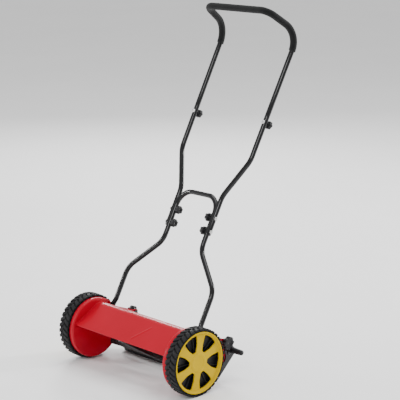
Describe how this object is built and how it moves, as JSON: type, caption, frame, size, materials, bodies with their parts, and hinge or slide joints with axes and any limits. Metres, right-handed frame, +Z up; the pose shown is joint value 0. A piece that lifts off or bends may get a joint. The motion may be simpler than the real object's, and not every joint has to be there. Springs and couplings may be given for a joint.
{
  "type": "reel mower",
  "caption": "Push reel mower: spiked-tread wheels gear a helical-blade reel against a bed knife, with a height-set rear roller and a bolted tube handle.",
  "frame": {"origin": "on the ground, on the middle plane, halfway along the mower's length", "axes": "-Y is the way it drives, +X its own left-hand side, +Z up"},
  "size_m": [0.522, 0.6058, 1.0828],
  "materials": {
    "red_paint": "gloss",
    "yellow_plastic": "semi-gloss",
    "black_plastic": "satin, moulded",
    "tyre_rubber": "matte",
    "black_paint": "gloss",
    "foam": "matte closed-cell foam",
    "zinc": "zinc plated",
    "blade_steel": "ground edges, oiled",
    "cast_iron": "painted black"
  },
  "bodies": {
    "frame": {"deck_cover": "red_paint", "front_tie_rod": "black_paint", "rear_tie_rod": "black_paint", "side_plate_left": "red_paint", "side_plate_right": "red_paint", "stub_axle_left": "zinc", "stub_axle_right": "zinc", "axle_nut_left": "zinc", "axle_nut_right": "zinc", "reel_bearing_left": "black_plastic", "reel_bearing_right": "black_plastic", "foot_bolt_left": "zinc", "foot_bolt_right": "zinc"},
    "wheel_left": {"wheel_core_left": "black_plastic", "tyre_left": "tyre_rubber", "wheel_cover_left": "yellow_plastic"},
    "wheel_right": {"wheel_core_right": "black_plastic", "tyre_right": "tyre_rubber", "wheel_cover_right": "yellow_plastic"},
    "pinion_left": {"pinion_left": "black_plastic"},
    "pinion_right": {"pinion_right": "black_plastic"},
    "reel": {"reel_shaft": "zinc", "reel_spider_1": "cast_iron", "reel_spider_2": "cast_iron", "reel_spider_3": "cast_iron", "reel_blade_1": "blade_steel", "reel_blade_2": "blade_steel", "reel_blade_3": "blade_steel", "reel_blade_4": "blade_steel", "reel_blade_5": "blade_steel"},
    "bed": {"bed_bar": "cast_iron", "bed_knife": "blade_steel"},
    "roller_carriage": {"roller_shaft": "zinc", "roller_bracket_left": "black_paint", "roller_bracket_right": "black_paint", "clamp_strip_left": "zinc", "clamp_strip_right": "zinc", "bracket_peg_left": "black_plastic", "bracket_peg_right": "black_plastic"},
    "roller": {"rear_roller": "black_plastic"},
    "height_knob_left": {"height_knob_left": "black_plastic"},
    "height_knob_right": {"height_knob_right": "black_plastic"},
    "handle": {"lower_handle": "black_paint", "upper_handle": "black_paint", "foam_grip": "foam", "mid_tube_left": "black_paint", "mid_tube_right": "black_paint", "bolt_lower_left": "zinc", "bolt_lower_right": "zinc", "bolt_upper_left": "zinc", "bolt_upper_right": "zinc", "bolt_top_left": "zinc", "bolt_top_right": "zinc"},
    "knob_lower_left": {"knob_lower_left": "black_plastic"},
    "knob_lower_right": {"knob_lower_right": "black_plastic"},
    "knob_upper_left": {"knob_upper_left": "black_plastic"},
    "knob_upper_right": {"knob_upper_right": "black_plastic"},
    "knob_top_left": {"knob_top_left": "black_plastic"},
    "knob_top_right": {"knob_top_right": "black_plastic"}
  },
  "joints": [
    {"name": "wheel_left_spin", "type": "hinge", "parent": "frame", "child": "wheel_left", "pos_m": [0.2405, -0.2022, 0.101], "axis": [1, 0, 0], "continuous": true},
    {"name": "pinion_left_spin", "type": "hinge", "parent": "frame", "child": "pinion_left", "pos_m": [0.228, -0.14351, 0.08853], "axis": [1, 0, 0], "continuous": true},
    {"name": "height_knob_left_turn", "type": "hinge", "parent": "roller_carriage", "child": "height_knob_left", "pos_m": [0.2155, -0.0432, 0.114], "axis": [1, 0, 0], "range_deg": [0, 360]},
    {"name": "wheel_right_spin", "type": "hinge", "parent": "frame", "child": "wheel_right", "pos_m": [-0.2405, -0.2022, 0.101], "axis": [1, 0, 0], "continuous": true},
    {"name": "pinion_right_spin", "type": "hinge", "parent": "frame", "child": "pinion_right", "pos_m": [-0.228, -0.14351, 0.08853], "axis": [1, 0, 0], "continuous": true},
    {"name": "height_knob_right_turn", "type": "hinge", "parent": "roller_carriage", "child": "height_knob_right", "pos_m": [-0.2155, -0.0432, 0.114], "axis": [1, 0, 0], "range_deg": [0, 360]},
    {"name": "reel_spin", "type": "hinge", "parent": "frame", "child": "reel", "pos_m": [0, -0.14351, 0.08853], "axis": [1, 0, 0], "continuous": true},
    {"name": "bed_knife_set", "type": "hinge", "parent": "frame", "child": "bed", "pos_m": [0, -0.10421, 0.07203], "axis": [1, 0, 0], "range_deg": [0, 2.5]},
    {"name": "roller_height", "type": "slide", "parent": "frame", "child": "roller_carriage", "axis": [0, -0.2691, 0.9631], "range_m": [-0.013, 0.003]},
    {"name": "roller_spin", "type": "hinge", "parent": "roller_carriage", "child": "roller", "pos_m": [0, -0.0832, 0.016], "axis": [1, 0, 0], "continuous": true},
    {"name": "handle_hinge", "type": "hinge", "parent": "frame", "child": "handle", "pos_m": [0, -0.1462, 0.152], "axis": [1, 0, 0], "range_deg": [-65, 25]},
    {"name": "knob_lower_left_turn", "type": "hinge", "parent": "handle", "child": "knob_lower_left", "pos_m": [0.084, 0.00029, 0.42293], "axis": [1, 0, 0], "range_deg": [0, 360]},
    {"name": "knob_lower_right_turn", "type": "hinge", "parent": "handle", "child": "knob_lower_right", "pos_m": [-0.084, 0.00029, 0.42293], "axis": [1, 0, 0], "range_deg": [0, 360]},
    {"name": "knob_upper_left_turn", "type": "hinge", "parent": "handle", "child": "knob_upper_left", "pos_m": [0.084, 0.02074, 0.46076], "axis": [1, 0, 0], "range_deg": [0, 360]},
    {"name": "knob_upper_right_turn", "type": "hinge", "parent": "handle", "child": "knob_upper_right", "pos_m": [-0.084, 0.02074, 0.46076], "axis": [1, 0, 0], "range_deg": [0, 360]},
    {"name": "knob_top_left_turn", "type": "hinge", "parent": "handle", "child": "knob_top_left", "pos_m": [0.15149, 0.17199, 0.74048], "axis": [0, 0.8796, -0.4756], "range_deg": [0, 360]},
    {"name": "knob_top_right_turn", "type": "hinge", "parent": "handle", "child": "knob_top_right", "pos_m": [-0.15149, 0.17199, 0.74048], "axis": [0, 0.8796, -0.4756], "range_deg": [0, 360]}
  ],
  "couplings": [
    {"joint": "pinion_left_spin", "follows": "wheel_left_spin", "ratio": 5},
    {"joint": "pinion_right_spin", "follows": "wheel_right_spin", "ratio": 5},
    {"joint": "reel_spin", "follows": "wheel_left_spin", "ratio": 5}
  ]
}
